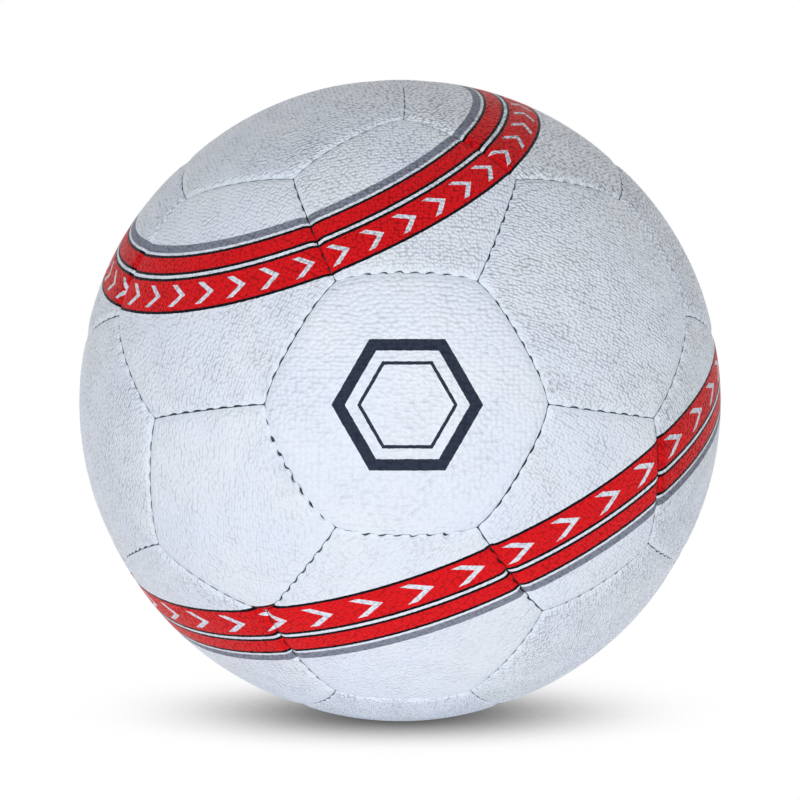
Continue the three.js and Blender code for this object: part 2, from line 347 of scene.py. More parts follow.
def blank(count, holed):
    """A closed flat blank: its face, then the turned-in edge and the inner face as further rows."""
    bm = bmesh.new()
    share, azimuth, row = (bm.verts.layers.float.new(key) for key in LAYERS)
    if holed:
        steps = FINER * (CUTS + 1)
        bmesh.ops.create_circle(bm, segments=count * 2 * steps, radius=1)
        bm.verts.ensure_lookup_table()
        for i, vert in enumerate(bm.verts):
            edge, step = divmod(i, 2 * steps)
            tilt = math.tan(math.pi / count) * (step / steps - 1)
            vert[azimuth] = 2 * math.pi * edge / count + math.atan(tilt)
        inner = bm.edges[:]
        loop = inner
        for ring in range(1, HOLE_RINGS + 1):
            fresh, loop = drawn_out(bm, loop)
            for vert in fresh:
                vert[share] = ring / HOLE_RINGS
                vert.co = vert.co.normalized() * (1 + ring / HOLE_RINGS)
    else:
        bmesh.ops.create_circle(bm, segments=2 * count, radius=1, cap_ends=True, cap_tris=True)
        bm.verts.ensure_lookup_table()
        middle = min(bm.verts, key=lambda vert: vert.co.length)
        rim = [vert for vert in bm.verts if vert is not middle]
        start = math.atan2(rim[0].co.y, rim[0].co.x)
        for vert in rim:
            angle = math.atan2(vert.co.y, vert.co.x) - start
            step = round(angle / (math.pi / count)) % (2 * count)
            angle = step * math.pi / count
            length = 1 if step % 2 else math.cos(math.pi / count)
            vert.co = Vector((math.cos(angle), math.sin(angle), 0)) * length
        spokes = [edge for edge in middle.link_edges if edge.other_vert(middle).co.length > ON_CORNER]
        bmesh.ops.dissolve_edges(bm, edges=spokes, use_verts=False)
        bmesh.ops.subdivide_edges(bm, edges=bm.edges[:], cuts=CUTS, use_grid_fill=True)
        rim = [edge for edge in bm.edges if edge.is_boundary]
        bmesh.ops.subdivide_edges(bm, edges=rim, cuts=FINER - 1)
        for vert in bm.verts:
            vert[share] = min(polygon_share(vert.co, count), 1)
            vert[azimuth] = math.atan2(vert.co.y, vert.co.x)
        loop = [edge for edge in bm.edges if edge.is_boundary]
    for step in range(1, BAND_ROWS + ROWS + 1):
        fresh, loop = drawn_out(bm, loop)
        for vert in fresh:
            vert[share] = 1 + min(step / BAND_ROWS, 1)
            vert[row] = max(step - BAND_ROWS, 0)
            vert.co *= 1 + RING_STEP
    if holed:
        bmesh.ops.bridge_loops(bm, edges=inner + loop)
    else:
        bmesh.ops.edgeloop_fill(bm, edges=loop)
    bmesh.ops.recalc_face_normals(bm, faces=bm.faces[:])
    for face in bm.faces:
        face.smooth = True
        face.material_index = 0 if min(vert[row] for vert in face.verts) < CLOTH_ROW else 1
    mesh = bpy.data.meshes.new("blank")
    bm.to_mesh(mesh)
    bm.free()
    return mesh


def read_values(mesh, name):
    values = np.empty(len(mesh.vertices), np.float32)
    mesh.attributes[name].data.foreach_get("value", values)
    return values.astype(float)


def polar_at(inset, from_middle, apothem, at_radius):
    """The angle from the panel's axis of a point that lies that far inside the seam's plane."""
    across = np.cos(apothem) * np.cos(from_middle)
    reach = np.hypot(np.sin(apothem), across)
    lean = np.arctan2(across, np.sin(apothem))
    return np.arccos(np.clip(inset / (at_radius * reach), -1, 1)) - lean


def pointing(polar, azimuth, turn):
    flat = np.sin(polar)
    local = np.stack([flat * np.cos(azimuth), flat * np.sin(azimuth), np.cos(polar)], 1)
    return local @ turn.T


def gathers(directions, name, turn, count, corner_polar):
    """Small folds that run out from each corner of the panel, and how near the corners are."""
    total = np.zeros(len(directions))
    nearness = np.zeros(len(directions))
    for corner in range(count):
        angle = np.array([2 * math.pi * (corner + 0.5) / count])
        place = pointing(np.array([corner_polar]), angle, turn)[0]
        away = (directions - place) * radius
        distance = np.linalg.norm(away, axis=1)
        inward = unit(axes[name] - place * (axes[name] @ place))
        sideways = np.cross(place, inward)
        bearing = np.arctan2(away @ sideways, away @ inward)
        folds = np.sin(bearing * GATHER_TURNS + rng.uniform(0, GATHER_PHASE))
        folds = folds * rng.uniform(*GATHER_STRENGTH)
        total += folds * np.exp(-distance / GATHER_REACH) * smooth(0, GATHER_START, distance)
        nearness += np.exp(-((distance / CORNER_REACH) ** 2))
    return total, nearness


def face_outwards(mesh):
    bm = bmesh.new()
    bm.from_mesh(mesh)
    if bm.calc_volume(signed=True) < 0:
        bmesh.ops.reverse_faces(bm, faces=bm.faces[:])
        bm.to_mesh(mesh)
    bm.free()
    mesh.update()
    return mesh


def write_values(mesh, name, values):
    kind = "FLOAT_VECTOR" if values.ndim == 2 else "FLOAT"
    field = "vector" if values.ndim == 2 else "value"
    made = mesh.attributes.new(name, kind, "POINT")
    made.data.foreach_set(field, values.astype(np.float32).ravel())


class Face:
    """A blank's vertices laid on the ball, and how the sewing works the face of that panel."""

    def __init__(self, name, mesh, holed):
        self.name, self.count, self.turn, self.holed = name, sides[name], basis(name), holed
        self.apothem = apothems[self.count]
        self.share, self.azimuth, row = (read_values(mesh, key) for key in LAYERS)
        self.row = np.round(row).astype(int)
        self.on_face = self.row == 0
        edge_angle = 2 * math.pi / self.count
        edge = np.round(self.azimuth / edge_angle).astype(int)
        self.from_middle = self.azimuth - edge * edge_angle
        self.edge = edge % self.count
        self.corner_polar = polar_at(0.0, math.pi / self.count, self.apothem, radius)

        deepest = radius * math.sin(self.apothem)
        core = deepest - (deepest - BAND) * np.minimum(self.share, 1)
        band = BAND * np.clip(2 - self.share, 0, 1) ** CROWDING
        self.inset = np.where(self.share < 1, core, band)
        self.hole_polar = math.asin(VALVE_HOLE / radius) if holed else 0
        self.to_hole = self.hole_polar * np.clip(1 - self.share, 0, 1) ** 2
        polar = polar_at(self.inset, self.from_middle, self.apothem, radius)
        self.polar = polar + self.to_hole
        self.directions = pointing(self.polar, self.azimuth, self.turn)

        edges = edge_directions(name)
        insets = np.stack([radius * (self.directions @ inward) for inward, _ in edges], 1)
        near = -DISTANCE_BLEND * np.log(np.exp(-insets / DISTANCE_BLEND).sum(1))
        self.near = np.clip(near, 0, None)
        nearest_two = np.sort(insets, 1)
        self.by_seam = smooth(0, CORNER_BLEND, nearest_two[:, 1] - nearest_two[:, 0])

        self.drop = CROWN * (self.polar / self.corner_polar) ** 2
        self.drop += PILLOW * np.exp(-self.near / PILLOW_REACH)
        self.shift, self.bows, self.shade = (np.zeros(len(self.share)) for _ in range(3))
        for number, (_, other) in enumerate(edges):
            self.sew(seams[tuple(sorted((name, other)))], self.edge == number)
        self.drop += UNEVEN * (0.5 + 0.5 * unevenness(self.directions * radius))
        folds, cornered = gathers(self.directions, name, self.turn, self.count, self.corner_polar)
        self.drop += GATHER * (0.5 + 0.5 * folds) + CORNER_SINK * cornered
        if holed:
            from_hole = radius * (self.polar - self.hole_polar)
            self.drop += VALVE_HOLE_SINK * np.clip(1 - from_hole / VALVE_HOLE_LIP, 0, None) ** 2

    def sew(self, seam, mine):
        """Draws the vertices beside one seam down into it, and shifts them with its line."""
        leads = seam.lead == self.name
        side = 1 if leads else -1
        along = radius * np.arcsin(self.directions[mine] @ seam.along)
        inset, window = self.inset[mine], self.by_seam[mine]
        arcs = seam.arcs(along) * window
        self.bows[mine] = side * seam.bowed(along) * window
        stitch = side * seam.swing(along) * window - seam.half_open(along)
        from_corner = half_seam - abs(along)
        stitch -= CORNER_GAP * np.exp(-((from_corner / CORNER_GAP_REACH) ** 2))
        stitch *= np.exp(-inset / STITCH_REACH)
        self.shift[mine] = self.bows[mine] * np.exp(-inset / BOW_REACH) + stitch
        darkening = seam.shade + STITCH_SHADE * arcs
        self.shade[mine] = darkening * np.clip(1 - inset / SHADE_REACH, 0, 1)
        lip = LIP + STITCH_SINK * arcs
        self.drop[mine] += lip * np.clip(1 - inset / LIP_REACH, 0, None) ** 2
        if leads:
            swell = np.exp(-(((inset - BUMP_REACH) / BUMP_REACH) ** 2))
            self.drop[mine] -= BUMP * arcs * swell

    def places(self):
        """Where the vertices lie: the worked face, the turned-in edge and the inner face."""
        inset = np.where(self.on_face, self.inset - self.shift, 0)
        depth = self.drop.copy()
        for number, (row_inset, row_depth, kept) in enumerate(EDGE_ROWS, 1):
            mine = self.row == number
            if row_inset is None:
                inset[mine] = -self.shift[mine]
                depth[mine] = self.drop[mine] + row_depth
            else:
                inset[mine] = row_inset - kept * self.bows[mine]
                depth[mine] = row_depth
        last = self.row == ROWS
        inset[last] = INNER_INSET
        depth[last] = LAMINATE
        at_radius = radius - depth
        inset_at = np.where(self.on_face, radius, at_radius)
        polar = polar_at(inset, self.from_middle, self.apothem, inset_at)
        if self.holed:
            polar = polar + np.where(self.on_face, self.to_hole, 0)
            polar[last] = self.hole_polar
        return pointing(polar, self.azimuth, self.turn) * at_radius[:, None]


# How the leather of a panel was cut and pressed
GRAIN_ROW = 0.0005  # how far apart the rows past the face are laid
GRAIN_WIDE = 0.8  # scale of the front panel's grain: its pebbles are larger
GRAIN_AWAY = (0.1, 0.5)  # offsets of the grain from panel to panel
GRAIN_LAYERS = (0, 0.3)
GRAIN_DEPTH = (1.35, 2.2)  # in front, and more of it round the ball's side
GRAIN_DEPTH_POWER = 1.5
GRAIN_DEPTH_WAY = (0.3, 0, 0.45)  # deeper this way
GRAIN_DEPTH_SCATTER = (0.92, 1.08)
PRINT_SLIP = 0.00025  # scatter of the print from panel to panel


def write_looks(mesh, face):
    """The attributes that the leather's material reads."""
    name = face.name
    grain_turn = rng.uniform(0, 2 * math.pi)
    if name == front_panel:
        grain_turn = math.atan2(face.turn[2, 0], face.turn[0, 0])
    reach = radius * face.polar + GRAIN_ROW * face.row
    turned_by = face.azimuth + grain_turn
    flat = np.stack([reach * np.cos(turned_by), reach * np.sin(turned_by)], 1)
    flat = flat * (GRAIN_WIDE if name == front_panel else 1.0) + rng.uniform(*GRAIN_AWAY, 2)
    layer = np.full((len(flat), 1), rng.uniform(*GRAIN_LAYERS))
    write_values(mesh, "grain_place", np.hstack([flat, layer]))
    write_values(mesh, "seam_distance", np.where(face.on_face, face.near, 0))
    write_values(mesh, "inside_seam", np.where(face.on_face, face.shade, 1))
    around = (1 - abs(axes[name][1])) ** GRAIN_DEPTH_POWER
    least, more = GRAIN_DEPTH
    depth = least + more * around + axes[name] @ GRAIN_DEPTH_WAY
    depth *= rng.uniform(*GRAIN_DEPTH_SCATTER)
    write_values(mesh, "grain_depth", np.full(len(flat), depth))
    write_values(mesh, "print_slip", np.full(len(flat), rng.normal(0, PRINT_SLIP)))


def panel(name, blank_mesh, holed):
    mesh = blank_mesh.copy()
    mesh.name = name
    face = Face(name, mesh, holed)
    mesh.vertices.foreach_set("co", face.places().astype(np.float32).ravel())
    write_looks(mesh, face)
    for key in LAYERS:
        mesh.attributes.remove(mesh.attributes[key])
    return face_outwards(mesh)


# Materials


class Shader:
    """A material's node tree, with short calls for the nodes that it is wired from."""

    def __init__(self, name):
        self.material = bpy.data.materials.new(name)
        self.material.use_nodes = True
        self.tree = self.material.node_tree
        self.shader = self.tree.nodes["Principled BSDF"]

    def add(self, kind, inputs=(), **settings):
        node = self.tree.nodes.new("ShaderNode" + kind)
        for key, value in settings.items():
            setattr(node, key, value)
        for key, value in dict(inputs).items():
            self.feed(node.inputs[key], value)
        return node

    def feed(self, socket, value):
        if isinstance(value, bpy.types.NodeSocket):
            self.tree.links.new(value, socket)
        else:
            socket.default_value = value

    def math(self, operation, *values):
        return self.add("Math", dict(enumerate(values)), operation=operation).outputs[0]

    def vector(self, operation, *values):
        node = self.add("VectorMath", dict(enumerate(values)), operation=operation)
        return node.outputs["Value" if operation == "DOT_PRODUCT" else "Vector"]

    def scaled(self, vector, factor):
        node = self.add("VectorMath", {0: vector, "Scale": factor}, operation="SCALE")
        return node.outputs["Vector"]

    def noise(self, vector, scale, detail, output="Fac"):
        inputs = {"Vector": vector, "Scale": scale, "Detail": detail}
        return self.add("TexNoise", inputs).outputs[output]

    def ramp(self, value, low, high, to_low=0.0, to_high=1.0):
        """An S-shaped step from one level to the other."""
        inputs = {"Value": value, "From Min": low, "From Max": high, "To Min": to_low, "To Max": to_high}
        return self.add("MapRange", inputs, interpolation_type="SMOOTHSTEP").outputs["Result"]

    def mixed(self, factor, a, b):
        node = self.add("Mix", data_type="RGBA")
        self.feed(node.inputs["Factor"], factor)
        self.feed(node.inputs["A"], a)
        self.feed(node.inputs["B"], b)
        return node.outputs["Result"]

    def attribute(self, name, output="Fac"):
        return self.add("Attribute", attribute_name=name).outputs[output]

    def place(self):
        return self.add("TexCoord").outputs["Object"]

    def finished(self, base, roughness, height, distance):
        """Wires up the surface, with a relief of that height, and returns the material."""
        bump = self.add("Bump", {"Height": height, "Distance": distance, "Strength": 1.0})
        self.feed(self.shader.inputs["Base Color"], base)
        self.feed(self.shader.inputs["Roughness"], roughness)
        self.feed(self.shader.inputs["Normal"], bump.outputs["Normal"])
        return self.material


def colour(red, green, blue):
    """A colour as seen on screen, 0 to 255, in the shader's own scale."""
    levels = [level / 255 for level in (red, green, blue)]
    return (*[v / 12.92 if v <= 0.04045 else ((v + 0.055) / 1.055) ** 2.4 for v in levels], 1)


# Grain of the leather. Its places are in millimetres, its strengths in shares of a pebble's height.
PER_METRE = 1000.0
GRAIN_LONG = 1.18  # size of a pebble
GRAIN_SHORT = 0.92
GRAIN_HEIGHT = 0.00052
GRAIN_RANDOM = 0.62
GRAIN_SOFT = 0.48
GRAIN_WARP = (0.11, 1.2)  # scale of the wandering of its rows, and how far they wander
ROLLING = (1.1, 0.07)  # scale and strength of the noise on the pebbles
PORES = (2.1, 0.025)
CALM = 0.45  # the grain's strength beside a seam, where the leather is stretched
CALM_REACH = 0.0016
CALM_WAVER = (0.22, 0.0030)  # scale and width of the wavering of that strip
PATCHES = (0.13, 0.75, 1.15)  # scale of the patches of weaker and stronger grain, and their strengths
PEBBLE_EDGE = (0.60, 0.38)  # distances from a pebble's middle at which it ends and at which it is whole


def grain(shader):
    """Height of the pebbled grain in shares of a pebble's, and 0 in its furrows to 1 on its pebbles."""
    place = shader.scaled(shader.attribute("grain_place", "Vector"), PER_METRE)
    scale, reach = GRAIN_WARP
    wandering = shader.vector("SUBTRACT", shader.noise(place, scale, 1.0, "Color"), (0.5, 0.5, 0.5))
    place = shader.vector("ADD", place, shader.scaled(wandering, reach))
    cells = shader.vector("DIVIDE", place, (GRAIN_LONG, GRAIN_SHORT, 1e6))
    inputs = {"Vector": cells, "Scale": 1.0, "Randomness": GRAIN_RANDOM, "Smoothness": GRAIN_SOFT}
    settings = {"voronoi_dimensions": "2D", "feature": "SMOOTH_F1"}
    from_middle = shader.add("TexVoronoi", inputs, **settings).outputs["Distance"]
    height = shader.math("MULTIPLY", shader.math("POWER", from_middle, 2.0), -1.0)
    for scale, strength in (ROLLING, PORES):
        height = shader.math("MULTIPLY_ADD", shader.noise(place, scale, 1.0), strength, height)
    scale, width = CALM_WAVER
    wavering = shader.math("MULTIPLY_ADD", shader.noise(place, scale, 1.0), width, -width / 2)
    from_seam = shader.math("ADD", shader.attribute("seam_distance"), wavering)
    calm = shader.ramp(from_seam, 0.0, CALM_REACH, CALM, 1.0)
    scale, weak, strong = PATCHES
    patchy = shader.ramp(shader.noise(place, scale, 1.0), 0.3, 0.7, weak, strong)
    depth = shader.math("MULTIPLY", patchy, shader.attribute("grain_depth"))
    height = shader.math("MULTIPLY", shader.math("MULTIPLY", height, calm), depth)
    return height, shader.ramp(from_middle, *PEBBLE_EDGE)


# Colours of the leather and its print
LEATHER_COOL = colour(224, 232, 247)
LEATHER_WARM = colour(228, 235, 245)
SEAM_SHEEN = colour(224, 240, 250)
FURROW_SHADE = colour(104, 111, 120)
PEBBLE_HIGHLIGHT = colour(240, 246, 252)
SEAM_SHADE = colour(52, 54, 56)
HOOP_RED = colour(224, 24, 31)
HOOP_BLACK = colour(13, 14, 21)
HOOP_GREY = colour(134, 139, 156)
NAVY = colour(49, 56, 73)

# Hoops of the print: two about one axis, each a wide band with chevrons, a narrow band and a grey line
HOOP_AXIS = unit((-0.36, -0.34, 0.87))
HOOPS = (0.0780, -0.0170)  # distance of their wide bands from the axis's equator, on the ball's surface
WIDE_HALF = 0.0043  # half widths, and distances of the other bands from the wide one
NARROW_HALF = 0.0022
NARROW_OFFSET = 0.0090
GREY_HALF = 0.0012
GREY_OFFSET = 0.0140
OUTLINE = 0.0008
CHEVRONS = 40  # round the ball
CHEVRON_LEAN = 0.55  # these in steps from one chevron to the next
CHEVRON_WIDTH = 0.20
CHEVRON_REACH = 0.72  # share of the wide band
PRINT_WANDER = (900.0, 0.00030)  # scale and width of the wavering of the print's edges

# Figure in the middle of the front panel: a plain six-sided ring
FIGURE_OUTER = 0.0170
FIGURE_WIDTH = 0.0030
FIGURE_INNER = 0.0108
FIGURE_LINE = 0.0009

# Surface of the leather
CLOUD_SCALE = 40.0
# Painted shade in the furrows and a painted highlight on the pebbles of the upper panels, more of both
# towards the top of the ball
UPPER_SHADING_WAY = (0.40, 0.15, 0.90)
UPPER_SHADING_RANGE = (0.42, 0.95)
UPPER_SHADING = 0.58
# Painted sheen beside the seams: how strong it is, and how far it reaches
SEAM_SHEEN_STRENGTH = 0.12
SEAM_SHEEN_REACH = 0.0018
INK_FURROW_SHADE = 0.22  # painted shade: darkening of the ink in the furrows
SEAM_RANGE = (0.1, 0.9)
SEAM_DARK = 0.9
FURROW_ROUGHNESS = 0.52
PEBBLE_ROUGHNESS = 0.33
INK_SMOOTHER = 0.04
LEATHER_SPECULAR = 0.50
INK_SPECULAR = 0.04

# Cloth, thread and rubber
CLOTH_COLOURS = (colour(168, 163, 150), colour(214, 210, 198))
CLOTH_ROUGHNESS = 0.9
WEAVE_SCALE = 0.7
WEAVE_WAVER = 0.6
WEAVE_HEIGHT = 0.00010
WAX_COLOURS = (colour(24, 25, 30), colour(88, 90, 92))
WAX_ROUGHNESS = 0.55
FIBRE_SCALE = 5200.0
FIBRE_HEIGHT = 0.00008
RUBBER_SCALE = 320.0
RUBBER_SCATTER = (0.06, 0.08)  # of its roughness, down and up
SPECK_SCALE = 4200.0
SPECK_HEIGHT = 0.00004


def band(shader, distance, middle, half):
    """Where a distance is in a band, and how far it is from the band's middle."""
    off = shader.math("ABSOLUTE", shader.math("SUBTRACT", distance, middle))
    return shader.math("LESS_THAN", off, half), off


def hoops(shader, base, slip):
    """Lays the hoops over a colour. Returns the new colour and where it is inked."""
    way = shader.vector("NORMALIZE", shader.place())
    first = unit(np.cross(HOOP_AXIS, (0, 1, 0)))
    second = np.cross(HOOP_AXIS, first)
    up, ahead, aside = (
        shader.vector("DOT_PRODUCT", way, tuple(axis)) for axis in (HOOP_AXIS, first, second)
    )
    latitude = shader.math("MULTIPLY_ADD", shader.math("ARCSINE", up), radius, slip)
    turns = shader.math("MULTIPLY", shader.math("ARCTAN2", aside, ahead), CHEVRONS / (2 * math.pi))
    result, marks = base, []
    for hoop in HOOPS:
        outward = math.copysign(1, hoop)
        grey, _ = band(shader, latitude, hoop + outward * GREY_OFFSET, GREY_HALF)
        result = shader.mixed(grey, result, HOOP_GREY)
        marks.append(grey)
        for offset, half in ((0, WIDE_HALF), (NARROW_OFFSET, NARROW_HALF)):
            black, off = band(shader, latitude, hoop + outward * offset, half + OUTLINE)
            result = shader.mixed(black, result, HOOP_BLACK)
            result = shader.mixed(shader.math("LESS_THAN", off, half), result, HOOP_RED)
            marks.append(black)
            if half == WIDE_HALF:
                lean = shader.math("MULTIPLY", off, CHEVRON_LEAN / WIDE_HALF)
                step = shader.math("FRACT", shader.math("ADD", turns, lean))
                stroke = shader.math("LESS_THAN", step, CHEVRON_WIDTH)
                inside = shader.math("LESS_THAN", off, WIDE_HALF * CHEVRON_REACH)
                result = shader.mixed(shader.math("MULTIPLY", stroke, inside), result, base)
    ink = marks[0]
    for mark in marks[1:]:
        ink = shader.math("MAXIMUM", ink, mark)
    return result, ink


def front_figure(shader, slip):
    """Where the six-sided ring on the front panel is inked."""
    parts = shader.add("SeparateXYZ", {0: shader.place()}).outputs
    across = shader.math("ABSOLUTE", parts["X"])
    upright = shader.math("ABSOLUTE", parts["Z"])
    slope = shader.math("MULTIPLY", upright, math.sin(math.pi / 6))
    slope = shader.math("MULTIPLY_ADD", across, math.cos(math.pi / 6), slope)
    ring = shader.math("ADD", shader.math("MAXIMUM", upright, slope), slip)
    thick, _ = band(shader, ring, FIGURE_OUTER - FIGURE_WIDTH / 2, FIGURE_WIDTH / 2)
    thin, _ = band(shader, ring, FIGURE_INNER, FIGURE_LINE / 2)
    in_front = shader.math("LESS_THAN", parts["Y"], 0.0)
    return shader.math("MULTIPLY", shader.math("MAXIMUM", thick, thin), in_front)


def printed(shader, base):
    """Lays the print over the leather's colour. Returns the new colour and where it is inked."""
    scale, width = PRINT_WANDER
    wander = shader.math("SUBTRACT", shader.noise(shader.place(), scale, 2.0), 0.5)
    slip = shader.math("MULTIPLY_ADD", wander, width, shader.attribute("print_slip"))
    result, ink = hoops(shader, base, slip)
    figure = front_figure(shader, slip)
    return shader.mixed(figure, result, NAVY), shader.math("MAXIMUM", ink, figure)


def printed_leather():
    shader = Shader("printed_leather")
    height, pebble = grain(shader)
    cloud = shader.noise(shader.attribute("grain_place", "Vector"), CLOUD_SCALE, 2.0)
    result = shader.mixed(shader.ramp(cloud, 0.3, 0.7), LEATHER_COOL, LEATHER_WARM)
    way = shader.vector("NORMALIZE", shader.place())
    upper_shading = shader.ramp(shader.vector("DOT_PRODUCT", way, UPPER_SHADING_WAY), *UPPER_SHADING_RANGE, 0.0, UPPER_SHADING)
    furrow = shader.math("SUBTRACT", 1.0, pebble)
    # painted highlight on the pebbles and painted shade in the furrows of the upper panels
    result = shader.mixed(shader.math("MULTIPLY", pebble, upper_shading), result, PEBBLE_HIGHLIGHT)
    result = shader.mixed(shader.math("MULTIPLY", furrow, upper_shading), result, FURROW_SHADE)
    # a paler, bluer band beside each seam: a painted sheen
    seam_sheen = shader.ramp(shader.attribute("seam_distance"), 0.0, SEAM_SHEEN_REACH, SEAM_SHEEN_STRENGTH, 0.0)
    result = shader.mixed(seam_sheen, result, SEAM_SHEEN)
    result, ink = printed(shader, result)
    # painted shade in the furrows of the printed areas
    ink_furrow_shade = shader.ramp(pebble, 0.0, 1.0, INK_FURROW_SHADE, 0.0)
    result = shader.mixed(shader.math("MULTIPLY", ink, ink_furrow_shade), result, HOOP_BLACK)
    inside = shader.ramp(shader.attribute("inside_seam"), *SEAM_RANGE, 0.0, SEAM_DARK)
    result = shader.mixed(inside, result, SEAM_SHADE)
    rough = shader.ramp(pebble, 0.0, 1.0, FURROW_ROUGHNESS, PEBBLE_ROUGHNESS)
    rough = shader.math("MULTIPLY_ADD", ink, -INK_SMOOTHER, rough)
    specular = shader.math("MULTIPLY_ADD", ink, INK_SPECULAR - LEATHER_SPECULAR, LEATHER_SPECULAR)
    shader.feed(shader.shader.inputs["Specular IOR Level"], specular)
    return shader.finished(result, rough, height, GRAIN_HEIGHT)


def backing_cloth():
    """The laminate's cloth layers, on its cut edge and inner face."""
    shader = Shader("backing_cloth")
    place = shader.scaled(shader.attribute("grain_place", "Vector"), PER_METRE)
    inputs = {"Vector": place, "Scale": WEAVE_SCALE, "Distortion": WEAVE_WAVER}
    warp, weft = (shader.add("TexWave", inputs, bands_direction=way).outputs["Fac"] for way in "XY")
    weave = shader.math("MULTIPLY", warp, weft)
    return shader.finished(shader.mixed(weave, *CLOTH_COLOURS), CLOTH_ROUGHNESS, weave, WEAVE_HEIGHT)


def waxed_thread():
    shader = Shader("waxed_thread")
    fibres = shader.noise(shader.place(), FIBRE_SCALE, 3.0)
    return shader.finished(shader.mixed(fibres, *WAX_COLOURS), WAX_ROUGHNESS, fibres, FIBRE_HEIGHT)


def rubber(name, dark, light, roughness):
    shader = Shader(name)
    cloud = shader.noise(shader.place(), RUBBER_SCALE, 4.0)
    speck = shader.noise(shader.place(), SPECK_SCALE, 2.0)
    below, above = RUBBER_SCATTER
    rough = shader.ramp(cloud, 0.2, 0.8, roughness - below, roughness + above)
    result = shader.mixed(cloud, colour(*dark), colour(*light))
    return shader.finished(result, rough, speck, SPECK_HEIGHT)


def show(name, mesh, materials, node):
    mesh.materials.clear()
    for material in materials:
        mesh.materials.append(material)
    piece = bpy.data.objects.new(name, mesh)
    bpy.context.scene.collection.objects.link(piece)
    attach(piece, "root")
    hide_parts(node)


leather = printed_leather()
cloth = backing_cloth()
blanks = {key: blank(*key) for key in ((6, False), (5, False), (6, True))}
for name in panel_names:
    holed = name == "valve_panel"
    mesh = panel(name, blanks[sides[name], holed], holed)
    show(name.replace("_panel", "_leather"), mesh, [leather, cloth], name)
for pattern in blanks.values():
    bpy.data.meshes.remove(pattern)


# Thread: one waving run along every seam, high where it shows at a stitch


def thread_path(seam):
    steps = STITCHES * THREAD_STEPS
    first, last = seam.places[0] - seam.pitch / 2, seam.places[-1] + seam.pitch / 2
    along = np.linspace(first, last, steps + 1)
    phase = np.interp(along, [first, *seam.places, last], [-0.5, *range(STITCHES), STITCHES - 0.5])
    rise = 0.5 + 0.5 * np.cos(2 * math.pi * phase)
    depth = THREAD_LOW + (THREAD_HIGH - THREAD_LOW) * rise
    aside = seam.bowed(along) * THREAD_BOW + seam.swing(along) * THREAD_SWING
    angles = along / radius
    ways = np.outer(np.cos(angles), seam.middle) + np.outer(np.sin(angles), seam.along)
    return ways * (radius - depth)[:, None] + np.outer(aside, seam.outward)


def swept(path, ring, side):
    """The corners of a round tube along a path, for each corner's ring and share of the way round."""
    ahead = np.gradient(path, axis=0)
    sideways = np.cross(ahead, path)
    sideways /= np.linalg.norm(sideways, axis=1)[:, None]
    up = np.cross(ahead, sideways)
    up /= np.linalg.norm(up, axis=1)[:, None]
    turn = 2 * math.pi * side[:, None]
    return path[ring] + THREAD_RADIUS * (np.cos(turn) * sideways[ring] + np.sin(turn) * up[ring])


def stitched_thread():
    bm = bmesh.new()
    ring = bm.verts.layers.float.new("ring")
    side = bm.verts.layers.float.new("side")
    bmesh.ops.create_circle(bm, segments=THREAD_SIDES, radius=1)
    for i, vert in enumerate(bm.verts):
        vert[side] = i / THREAD_SIDES
    ends = bm.edges[:]
    loop = ends
    for step in range(1, STITCHES * THREAD_STEPS + 1):
        fresh, loop = drawn_out(bm, loop)
        for vert in fresh:
            vert[ring] = step
            vert.co.z = step
    bmesh.ops.edgeloop_fill(bm, edges=ends)
    bmesh.ops.edgeloop_fill(bm, edges=loop)
    bmesh.ops.recalc_face_normals(bm, faces=bm.faces[:])
    for face in bm.faces:
        face.smooth = True
    length = bpy.data.meshes.new("length")
    bm.to_mesh(length)
    bm.clear()
    rings = np.round(read_values(length, "ring")).astype(int)
    turns = read_values(length, "side")
    lengths = []
    for key in sorted(seams):
        bm.from_mesh(length)
        lengths.append(swept(thread_path(seams[key]), rings, turns))
    mesh = bpy.data.meshes.new("stitches")
    bm.to_mesh(mesh)
    bm.free()
    bpy.data.meshes.remove(length)
    mesh.vertices.foreach_set("co", np.concatenate(lengths).astype(np.float32).ravel())
    for key in ("ring", "side"):
        mesh.attributes.remove(mesh.attributes[key])
    return face_outwards(mesh)


show("stitches", stitched_thread(), [waxed_thread()], "seam_thread")


# Valve: turned shapes about the ball's front-to-back axis, as (radius, height) from the ball's middle


def on_sphere(at_radius, from_radius, to_radius, steps):
    """Points of a sphere between two distances from the valve's axis."""
    radii = np.linspace(from_radius, to_radius, steps)
    return [(r, math.sqrt(at_radius**2 - r**2)) for r in radii]


def turned(name, profile, sharp):
    """Spins a closed profile about the valve's axis and rounds the rims at the named points."""
    bm = bmesh.new()
    points = [bm.verts.new((r, y, 0)) for r, y in profile]
    edges = [bm.edges.new(pair) for pair in zip(points, points[1:])]
    if profile[0][0] > 0:
        edges.append(bm.edges.new((points[-1], points[0])))
    bmesh.ops.spin(bm, geom=points + edges, axis=(0, 1, 0), cent=(0, 0, 0), angle=2 * math.pi,
                   steps=VALVE_STEPS, use_merge=True, use_duplicate=False)
    bmesh.ops.remove_doubles(bm, verts=bm.verts[:], dist=SAME_PLACE)
    rims = []
    for edge in bm.edges:
        ends = [(math.hypot(vert.co.x, vert.co.z), vert.co.y) for vert in edge.verts]
        for at, rim_height in (profile[i] for i in sharp):
            if all(math.hypot(r - at, y - rim_height) < RIM_NEAR for r, y in ends):
                rims.append(edge)
    bmesh.ops.bevel(bm, geom=rims, offset=RIM_ROUND, offset_type="OFFSET", segments=RIM_STEPS,
                    profile=0.5, affect="EDGES", material=-1)
    bmesh.ops.recalc_face_normals(bm, faces=bm.faces[:])
    for face in bm.faces:
        face.smooth = True
    for edge in bm.edges:
        if len(edge.link_faces) == 2 and edge.calc_face_angle() > SHARP_ANGLE:
            edge.smooth = False
    mesh = bpy.data.meshes.new(name)
    bm.to_mesh(mesh)
    bm.free()
    return mesh


